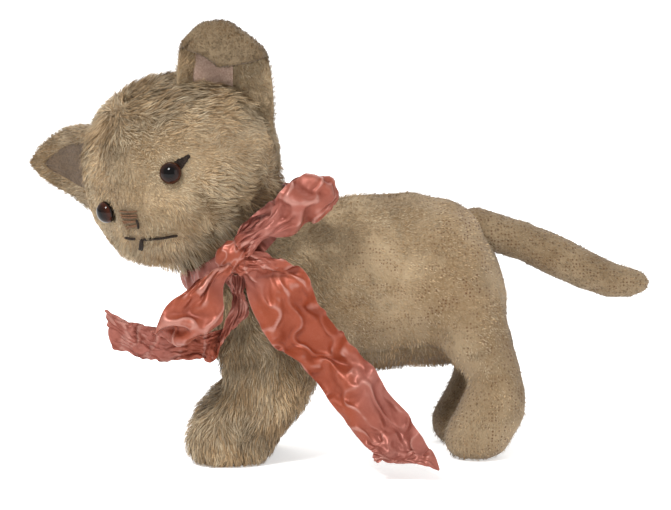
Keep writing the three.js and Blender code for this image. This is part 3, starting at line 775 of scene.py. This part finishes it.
def eye(side):
    at, axis = EYES[side]
    base = at - axis * EYE_SET_BACK
    s = Shader(f"glass_{side}", tint(24, 12, 8), roughness=0.04, specular=0.2)
    vector_math = "ShaderNodeVectorMath"
    offset = s.node(vector_math, {0: s.place(), 1: tuple(metres(base))}, operation="SUBTRACT").outputs[0]
    facing = s.node(vector_math, {0: offset, 1: tuple(axis * 1000)}, operation="DOT_PRODUCT").outputs["Value"]
    distance = s.node(vector_math, {0: offset}, operation="LENGTH").outputs["Value"]
    angle = s.math("DIVIDE", facing, s.math("MULTIPLY", distance, 1000.0))
    streaks = s.ramp(s.noise(1.2, 3, 1.5), 0.3, 0.7, -0.03, 0.03)
    angle = s.math("ADD", angle, streaks)
    iris = s.mix(s.ramp(angle, 0.25, 0.72), tint(58, 24, 10), tint(28, 13, 8))
    iris = s.mix(s.ramp(angle, 0.80, 0.86), iris, tint(6, 4, 4))
    s.link(s.mix(s.ramp(angle, 0.1, 0.24, 1, 0), iris, tint(14, 8, 6)), "Base Color")
    rows, around = 22, 64
    t = np.linspace(0, np.pi, rows + 2)[1:-1, None]
    p = np.linspace(0, 2 * np.pi, around, endpoint=False)[None, :]
    side_a = unit(np.cross(axis, (0, 0, 1)))
    side_b = np.cross(axis, side_a)
    bulge = np.where(np.cos(t) > 0, EYE_FRONT, EYE_BACK) * np.cos(t) * np.ones_like(p)
    ball = (
        base
        + (EYE_RADIUS * np.sin(t) * np.cos(p))[..., None] * side_a
        + (EYE_RADIUS * np.sin(t) * np.sin(p))[..., None] * side_b
        + bulge[..., None] * axis
    ).reshape(-1, 3)
    points = np.concatenate([ball, [base + axis * EYE_FRONT, base - axis * EYE_BACK]])
    obj = build(f"eye_{side}", points, ball_faces(rows, around), [s.material])
    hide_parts(f"eye_{side}_glass")
    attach(obj, "head")


for side in EYES:
    eye(side)


# ---------- thread ----------
def tube(stops, radius):
    """A thread through these points that thins at its ends, as points and quads."""
    sides, steps = 8, 6
    stops = np.array(stops)
    path = curve(stops, steps * (len(stops) - 1) + 1)
    tangent = unit(np.gradient(path, axis=0))
    out = unit(path - HEAD_AT)
    across = unit(np.cross(tangent, out))
    lift = np.cross(across, tangent)
    a = np.linspace(0, 2 * np.pi, sides, endpoint=False)
    thin = np.ones(len(path))
    thin[[0, -1]] = 0.35
    points = (
        path[:, None]
        + radius * (thin[:, None] * np.cos(a))[..., None] * across[:, None]
        + radius * (thin[:, None] * np.sin(a))[..., None] * lift[:, None]
    ).reshape(-1, 3)
    return points, grid(len(path), sides, columns_meet=True)


def curve(stops, count):
    """Catmull-Rom curve through the stops, with points evenly spaced along the stops."""
    stops = np.asarray(stops, float)
    padded = np.concatenate([[2 * stops[0] - stops[1]], stops, [2 * stops[-1] - stops[-2]]])
    t = np.linspace(0, len(stops) - 1, count)
    k = np.minimum(t.astype(int), len(stops) - 2)
    f = (t - k).reshape((-1,) + (1,) * (stops.ndim - 1))
    a, b, c, d = (padded[k + i] for i in range(4))
    return 0.5 * (2 * b + (c - a) * f + (2 * a - 5 * b + 4 * c - d) * f**2 + (3 * b - a - 3 * c + d) * f**3)


def threads(name, runs, radius, material, slot, *stands_for):
    points, faces, base = [], [], 0
    for run in runs:
        p, q = tube(run, radius)
        points.append(p)
        faces.append(q + base)
        base += len(p)
    obj = build(name, np.concatenate(points), [np.concatenate(faces)], [material])
    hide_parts(*stands_for)
    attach(obj, "head")


def laid(corners, rows, lost=()):
    """Parallel stitches over a patch of the head, between four corner directions, without the lost ones."""
    a, b, c, d = np.array(corners, float)
    runs = []
    for t in np.delete(np.linspace(0.04, 0.96, rows), lost):
        left, right = a + (d - a) * t, b + (c - b) * t
        jitter = rng.normal(size=2) * 0.25
        places = [left + (right - left) * k + jitter * (0.3 + k) for k in np.linspace(0, 1, 5)]
        runs.append([on_head(*place, 0.35) for place in places])
    return runs


threads("mouth", MOUTH, 0.48, BLACK_THREAD, "black_thread", "mouth_stitching")
nose = laid([[-7.5, -4], [5, -10.5], [-2, -18.5], [-11.5, -16.5]], 12, lost=(0, 1, 3, 6, 9))
threads("nose", nose, 0.28, NOSE_THREAD, "nose_thread", "nose_stitching")
for side, corners, radius in (
    ("left", [[36.6, -4.5], [35.2, 1.6], [44, 1], [43.5, -0.6]], 0.45),
    ("right", [[-25.8, -4], [-24.7, 1.8], [-32.5, 1.5], [-32, 0.3]], 0.42),
):
    name = f"eye_{side}_corner"
    threads(name, laid(corners, 13), radius, BLACK_THREAD, "black_thread", f"{name}_stitch")


# ---------- ears ----------
EARS = {
    "left": dict(
        top=(2, 19, 28), rear=(-18, 31.5, 3), lean=(0.02, 0.62, 0.78), front=1, half=19, height=45.5,
        blunt=0.75, fold_at=25, droop=(15, 8), skew=0.25, fold=155, radius=2.4, cup=(8, 5), lining=0.25,
    ),
    "right": dict(
        top=(5, -17, 32), rear=(2, -34, -2), lean=(-0.2, -0.88, 0.46), front=-1, half=16.5, height=41,
        blunt=0.75, fold_at=22, droop=(0, 0), skew=0, fold=12, radius=20, cup=(5, 5), lining=1,
    ),
}


def ear_surface(e, run, s, depth, inset):
    """Ear points: run up from the sewn root, s from edge to edge, depth through the cloth to the front."""
    top, rear, rise = np.array(e["top"], float), np.array(e["rear"], float), unit(e["lean"])
    along = unit(rear - top)
    face = unit(np.cross(along, rise)) * e["front"]
    half, height, fold = e["half"] - inset, e["height"] - inset, np.radians(e["fold"])
    arc = fold * e["radius"]
    width = np.maximum(0.8, half * (1 - np.clip(run / height, 0, 1) ** 2.2) ** e["blunt"])
    lateral = s * width / e["half"]
    bend_start = e["fold_at"] - np.where(s < 0, *e["droop"]) * lateral**2
    bend = np.clip((run - bend_start) / arc, 0, 1) * fold
    past = np.maximum(0, run - bend_start - arc)
    up = np.minimum(run, bend_start) + e["radius"] * np.sin(bend) + past * np.cos(bend)
    out = e["radius"] * (1 - np.cos(bend)) + past * np.sin(bend)
    cupping = np.where(s < 0, *e["cup"]) * (1 - np.clip(run / e["fold_at"], 0, 1) ** 2)
    local = (
        (top + rear) / 2
        + (s * width - e["skew"] * past)[..., None] * along
        + (up - depth * np.sin(bend))[..., None] * rise
        + (out + cupping * lateral**2 + depth * np.cos(bend))[..., None] * face
    )
    return from_head(local), width


def ear_cloth(name, e, near, far, inset, material, node, thick_rim):
    """A closed cloth of an ear, from depth near to depth far, whose rim may stand further forward."""
    rows, columns = 90, 70
    height = e["height"] - inset
    run = (-6 + (height + 6) * np.linspace(0, 1, rows) ** 0.85)[:, None] * np.ones(columns)
    s = np.sin(np.linspace(-np.pi / 2, np.pi / 2, columns))[None, :] * np.ones((rows, 1))
    _, width = ear_surface(e, run, s, 0 * run, inset)
    if inset:
        s = (s + 1) * (1 + e["lining"]) / 2 - 1
    edge = np.minimum(width * (1 - np.abs(s)), (height - run) * 0.9)
    rim = np.minimum(edge, width * (e["lining"] - s) + 6.6)
    if inset:
        edge = np.minimum(edge, width * (e["lining"] - s))
    rounding = np.sqrt(np.clip(1 - (1 - np.clip(edge / 0.9, 0, 1)) ** 2, 0, 1))
    front = far + thick_rim * step(7.4, 5.8, rim)
    middle = (near + front) / 2
    p3 = np.stack([run, s * 15, 0 * run], -1).reshape(-1, 3)
    wrinkle = (0.5 * noise(p3, 9, 81 + e["half"]) + 0.25 * noise(p3, 4, 82)).reshape(run.shape)
    faces, points = [], []
    for level in (near, front):
        depth = middle + (level - middle) * (0.12 + 0.88 * rounding) + wrinkle
        points.append(ear_surface(e, run, s, depth, inset)[0].reshape(-1, 3))
    sheet = grid(rows, columns)
    size = rows * columns
    ring = np.concatenate([
        np.arange(columns), np.arange(1, rows) * columns + columns - 1,
        (rows - 1) * columns + np.arange(columns - 2, -1, -1), np.arange(rows - 2, 0, -1) * columns,
    ])
    after = np.roll(ring, -1)
    wall = np.stack([ring, after, after + size, ring + size], 1)
    back_face, front_face = sheet, (sheet + size)[:, ::-1]
    if e["front"] < 0:
        back_face, front_face, wall = back_face[:, ::-1], front_face[:, ::-1], wall[:, ::-1]
    points = np.concatenate(points)
    faces = np.concatenate([back_face, front_face, wall])
    normals = normals_of(points, faces)
    obj = build(name, points, [faces], [material])
    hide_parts(node)
    visible = np.concatenate([np.ones(size), (rim < 6.6).ravel().astype(float)])
    flap = step(-1, 2, run - e["fold_at"] + np.where(s < 0, *e["droop"]) * (s * width / e["half"]) ** 2)
    edge, flap = (np.tile(values.ravel(), 2) for values in (edge, flap))
    return obj, (points, faces, normals), visible, edge, flap


for side, e in EARS.items():
    back, form, visible, edge, flap = ear_cloth(
        f"ear_{side}_mohair", e, -1.45, -0.15, 0, BACKING, f"ear_{side}_back", 1.3
    )
    tree = KDTree(len(form[0]))
    for k, point in enumerate(form[0]):
        tree.insert(point, k)
    tree.balance()

    def flap_at(p):
        """The left ear's turned-down tip is dirtier and shorter in the pile than the rest of it."""
        return flap[[tree.find(q)[1] for q in p]] if side == "left" else np.full(len(p), 0.3)

    dirt = 0.55 * flap if side == "left" else 0.3
    paint(back, worn=np.full(len(form[0]), 0.3), dark=0.15 * step(2, 0, edge) + dirt)
    lining, *_ = ear_cloth(
        f"ear_{side}_felt", e, 0.1, 1.05, 6.5, FELT[side], f"ear_{side}_lining", 0
    )
    points, faces, normals = form
    shown = faces[visible[faces].min(1) > 0.5]
    rise = from_head(unit(e["lean"])) - HEAD_AT
    fur = pile(
        f"ear_{side}_pile", (points, shown, normals), 4.5,
        lambda p: 1.9 - 1.2 * flap_at(p) + 0.3 * noise(p, 5, 43),
        lambda p, n, rise=rise: rise * 0.8 + swirl(p, 6, 57) * 0.7,
        lambda p: 0.56 - 0.45 * flap_at(p) + 0.2 * noise(p, 7, 36),
        width=0.18, lift=0.85, clump=0.6, lock=2, joints_each=1,
    )
    for piece in (back, lining, fur):
        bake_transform(piece)


# ---------- ribbon ----------
SIM = 0.02  # metres of simulation for each millimetre, because cloth is solved best at the size of a garment
GROWTH = 0.14  # how much a strip grows, as a share of its size
LAST_FRAME = 22


def crumpled(points, quads, held):
    """The strip after it has grown while parts of it were held, which folds it as real cloth folds."""
    mesh = bpy.data.meshes.new("strip")
    mesh.from_pydata((points * SIM).tolist(), [], quads.tolist())
    obj = bpy.data.objects.new("strip", mesh)
    bpy.context.scene.collection.objects.link(obj)
    group = obj.vertex_groups.new(name="held")
    for k, weight in enumerate(held):
        group.add([k], float(weight), "REPLACE")
    cloth = obj.modifiers.new("cloth", "CLOTH")
    settings, collision = cloth.settings, cloth.collision_settings
    settings.quality = 5
    settings.mass = 0.15
    settings.tension_stiffness = settings.compression_stiffness = 15
    settings.shear_stiffness = 5
    settings.bending_stiffness = 8
    settings.air_damping = 4
    settings.shrink_min = -GROWTH
    settings.vertex_group_mass = "held"
    settings.effector_weights.gravity = 0.1
    collision.use_collision = False
    collision.use_self_collision = True
    collision.self_distance_min = 0.011
    for number in range(1, LAST_FRAME + 1):
        bpy.context.scene.frame_set(number)
    result = finished_mesh(obj)
    solved = np.empty(len(result.vertices) * 3, np.float32)
    result.vertices.foreach_get("co", solved)
    bpy.context.scene.frame_set(1)
    return solved.reshape(-1, 3).astype(float) / SIM


def finished_cloth(name, points, quads, body_name):
    for _ in range(2):
        points, quads = subdivided(points, quads)
    normals = normals_of(points, quads)
    drawn = unit(points.mean(0) - points[0])
    bends = np.clip(1 - np.abs(noise(points - 0.62 * (points @ drawn)[:, None] * drawn, 8, 97)) / 0.2, 0, 1)
    height = 0.05 * noise(points, 1.6, 95) + 0.14 * noise(points, 3.4, 96) + 0.55 * bends
    points = points + normals * height[:, None]
    edges = np.concatenate([quads[:, [k, (k + 1) % 4]] for k in range(4)])
    count = np.bincount(edges[:, 0], minlength=len(points))
    sums = [np.bincount(edges[:, 0], p[edges[:, 1]], len(points)) for p in points.T]
    mean = np.stack(sums, 1) / count[:, None]
    bend = -((mean - points) * normals).sum(1) * 100
    for _ in range(4):
        bend = 0.3 * bend + 0.7 * np.bincount(edges[:, 0], bend[edges[:, 1]], len(points)) / count
    rim = (count < 4).astype(float)
    obj = build(name, points, [quads], [TAFFETA])
    # The pale crest mark is partly a painted highlight on outward bends and partly the faded edges and worn
    # crease lines; the hollow mark is painted shade in the inward bends.
    crest = np.clip(step(0.9, 3.2, bend) + 0.7 * rim + 0.25 * step(0.5, 1, bends), 0, 1)
    paint(obj, crest=crest, hollow=step(0.5, 3.0, -bend))
    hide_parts(name.replace("_cloth", ""))
    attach(obj, body_name)


def ribbon(name, stops, body_name, layer, crown=0.0, hems=0.3, pin_end=False):
    """A crumpled strip through stops of (centre, half width, direction across).

    Its cut size is its length and mean width along the stops, before any fold, with its growth.
    """
    centre_stops = np.array([stop[0] for stop in stops], float)
    length = np.linalg.norm(np.diff(curve(centre_stops, 200), axis=0), axis=1).sum()
    rows, columns = int(length / 1.25), 21
    centre = curve(centre_stops, rows)
    half = curve([[stop[1]] for stop in stops], rows)
    across = unit(curve([unit(stop[2]) for stop in stops], rows))
    out = unit(np.cross(unit(np.gradient(centre, axis=0)), across))
    u = np.concatenate([[0], np.cumsum(np.linalg.norm(np.diff(centre, axis=0), axis=1))])
    uu, ss = np.meshgrid(u, np.linspace(-1, 1, columns), indexing="ij")
    flat = np.stack([uu.ravel(), ss.ravel() * 12, np.full(uu.size, 40.0 * layer)], 1)
    start = np.exp(-uu / 8) + (np.exp(-(u[-1] - uu) / 8) if pin_end else 0)
    height = (2.4 * noise(flat * (0.75, 1, 1), 13, 92) + 1.0 * noise(flat, 7, 93)).reshape(uu.shape)
    height = height + 0.9 * np.cos(ss * 11) * start + crown * (1 - ss**2) * (1 - np.clip(start, 0, 1))
    points = centre[:, None] + across[:, None] * (ss * half)[..., None] + out[:, None] * height[..., None]
    end_hold = step(5, 1, u[-1] - uu) * (1 if pin_end else 0.4)
    hold = np.clip(0.05 + step(0.8, 1, np.abs(ss)) * hems + step(6, 1, uu) + end_hold, 0, 1)
    quads = grid(rows, columns)
    points = crumpled(points.reshape(-1, 3), quads, hold.ravel())
    points[:, 2] = np.maximum(points[:, 2], 0.8)
    finished_cloth(name, points, quads, body_name)


UP_LOOP, LOW_LOOP = (-0.55, 0, 0.83), (0.98, 0, 0.2)
ribbon("ribbon_loop_upper_cloth", [
    ((-44, -34.5, 81), 4, UP_LOOP), ((-36, -37, 88.5), 6.5, UP_LOOP), ((-26, -38, 95.5), 8.5, UP_LOOP),
    ((-16, -35.5, 102), 8.5, UP_LOOP), ((-13.5, -31, 103.5), 8, UP_LOOP), ((-18, -27.5, 100.5), 8, UP_LOOP),
    ((-27, -27.5, 94.5), 7.5, UP_LOOP), ((-36, -28.5, 88), 6, UP_LOOP), ((-42.5, -29.5, 82.5), 4, UP_LOOP),
], "body", 1, crown=2.5, pin_end=True)
ribbon("ribbon_loop_lower_cloth", [
    ((-50, -35.6, 74), 4, LOW_LOOP), ((-57.5, -40, 67), 8.5, LOW_LOOP), ((-61, -41.5, 56), 11.5, LOW_LOOP),
    ((-62.5, -37.5, 48.5), 11.5, LOW_LOOP), ((-61, -33.5, 54), 11, LOW_LOOP), ((-57, -32.5, 64), 8, LOW_LOOP),
    ((-50.5, -32.6, 71), 5, LOW_LOOP),
], "body", 2, crown=2.5, pin_end=True)
ribbon("ribbon_tail_long_cloth", [
    ((-42, -34, 77), 5, (0.75, 0, 0.66)), ((-34.5, -35, 72.5), 8.5, (0.85, 0, 0.5)),
    ((-24.5, -36, 56), 11, (0.85, 0, 0.52)), ((-13.5, -38, 43), 9, (0.74, 0, 0.67)),
    ((-4, -42.5, 30.5), 9, (0.74, 0, 0.67)), ((5, -48.5, 19.5), 9.5, (0.76, 0, 0.64)),
    ((10.5, -54.5, 11.5), 10.5, (0.9, 0, 0.35)), ((13.5, -59.5, 5.8), 11.5, (0.97, 0, -0.18)),
], "ribbon_long_end", 3, crown=1.5)
ribbon("ribbon_tail_short_cloth", [
    ((-45, -29.6, 71.5), 3.5, (1, 0, 0.1)), ((-44, -28.8, 60), 5, (1, 0, 0.1)),
    ((-45.5, -28.6, 48), 6.5, (0.6, 0, 0.8)), ((-53, -27.6, 44.5), 7, (0.1, 0, 1)),
    ((-64, -26, 45), 7, (0.05, 0, 1)), ((-77, -26, 46.5), 8, (-0.15, 0, 1)),
    ((-90, -26, 51.5), 8, (-0.2, 0, 1)),
], "ribbon_short_end", 4, crown=1.0, hems=0.5)


def neck_band():
    """The gathered band around the neck, in the neck's tilted plane."""
    around, columns = 640, 40
    a = np.linspace(0, 2 * np.pi, around, endpoint=False)
    t = np.linspace(0, 1, columns)
    aa, tt = np.meshgrid(a, t, indexing="ij")
    place = np.stack([np.cos(aa).ravel() * 26, np.sin(aa).ravel() * 26, tt.ravel() * 10], 1)
    pleat = 1 - 2 * np.abs(noise(place * (1, 1, 0.25), 4.5, 101))
    rough = noise(place, 5, 102)
    height = (1.9 * pleat + 1.1 * rough - 0.5).reshape(aa.shape)
    radius = 24.0 + 2.6 * tt + 1.1 * np.sin(np.pi * tt) + height * (0.6 + 0.5 * tt)
    level = 0.1 - 9.2 * tt + 0.7 * noise(place * (1, 1, 0), 6, 103).reshape(aa.shape) * tt
    tilt = np.array(Matrix.Rotation(np.radians(-40), 3, "Y"))
    points = np.stack([radius * np.cos(aa), radius * np.sin(aa), level], -1).reshape(-1, 3) @ tilt.T + NECK
    quads = grid(around, columns, rows_meet=True)[:, [0, 3, 2, 1]]
    obj = build("ribbon_band_cloth", points, [quads], [TAFFETA])
    # The pleat ridges get a painted highlight and the sunk pleats painted shade.
    paint(obj, crest=step(0.8, 1, pleat) * step(-0.2, 0.6, rough), hollow=step(1.0, -0.8, height.ravel()))
    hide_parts("ribbon_neck_band")
    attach(obj, "body")


def knot():
    """The tied middle, with pleats that run over it."""
    rows, around = 58, 90
    t, p = np.linspace(0, np.pi, rows + 2)[1:-1], np.linspace(0, 2 * np.pi, around, endpoint=False)
    tt, pp = np.meshgrid(t, p, indexing="ij")
    ball = np.stack([np.sin(tt) * np.cos(pp), np.sin(tt) * np.sin(pp), np.cos(tt)], -1).reshape(-1, 3)
    lean = np.array(Matrix.Rotation(np.radians(28), 3, "Y"))
    turned = ball @ lean
    pleat = 1 - 2 * np.abs(noise(turned * (1, 0.6, 0.35) * 6, 2.3, 111))
    rough = noise(turned * 6, 3, 112)
    grow = 1 + 0.10 * pleat + 0.06 * rough
    half_sizes, place = (5.9, 4.0, 5.7), (-46, -31.5, 77.5)
    points = ball * grow[:, None] * half_sizes + place
    poles = np.array([[0, 0, 1.0], [0, 0, -1.0]]) * half_sizes + place
    obj = build("ribbon_knot_cloth", np.concatenate([points, poles]), ball_faces(rows, around), [TAFFETA])
    at_poles = [0, 0]
    # The pleat ridges get a painted highlight and the pleat valleys painted shade.
    crest, hollow = step(0.75, 1, pleat), step(0.1, -0.9, pleat)
    paint(obj, crest=np.append(crest, at_poles), hollow=np.append(hollow, at_poles))
    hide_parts("ribbon_knot")
    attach(obj, "body")


neck_band()
knot()

# ---------- stage ----------
bpy.ops.mesh.primitive_plane_add(size=6, location=(0, 0, 0))
floor = bpy.context.object
floor.name = "floor"
white = Shader("paper", tint(248, 248, 248), roughness=0.9, specular=0.1)
white.set("Emission Color", (1, 1, 1, 1))
white.set("Emission Strength", 0.5)
floor.data.materials.append(white.material)

world = bpy.data.worlds.new("studio")
bpy.context.scene.world = world
bpy.context.scene.view_settings.view_transform = "Standard"
world.use_nodes = True
world.node_tree.nodes["Background"].inputs["Color"].default_value = (1, 1, 1, 1)
world.node_tree.nodes["Background"].inputs["Strength"].default_value = 0.65


def softbox(name, at, aim, size, power):
    light = bpy.data.lights.new(name, "AREA")
    light.energy, light.size = power, size
    lamp = bpy.data.objects.new(name, light)
    lamp.location = at
    lamp.rotation_euler = (Vector(aim) - Vector(at)).to_track_quat("-Z", "Y").to_euler()
    bpy.context.scene.collection.objects.link(lamp)


softbox("key", (-0.5, -0.7, 1.0), (0, 0, 0.07), 0.3, 12)
softbox("fill", (0.8, -0.8, 0.4), (0, 0, 0.07), 0.8, 2.5)
softbox("back", (0.2, 1.2, 1.2), (0, 0.4, 0), 1.2, 12)

# ---------- camera ----------
SENSOR, VIEW_WIDTH = 36, 0.2442  # the sensor in millimetres, and the metres across the picture at the cat
azimuth, elevation, distance = np.radians(-7), np.radians(9), 2.2
back = Vector((np.sin(azimuth) * np.cos(elevation), -np.cos(azimuth) * np.cos(elevation), np.sin(elevation)))
right = Vector((np.cos(azimuth), np.sin(azimuth), 0))
up = back.cross(right)
middle = Vector(metres(np.array(right) * -5.3 + np.array(up) * 71.7))
camera_data = bpy.data.cameras.new("camera")
camera_data.sensor_width = SENSOR
camera_data.lens = SENSOR * distance / VIEW_WIDTH
camera = bpy.data.objects.new("camera", camera_data)
turn = Matrix((right, up, back)).transposed().to_4x4()
camera.matrix_world = Matrix.Translation(middle + back * distance) @ turn
bpy.context.scene.collection.objects.link(camera)
bpy.context.scene.camera = camera
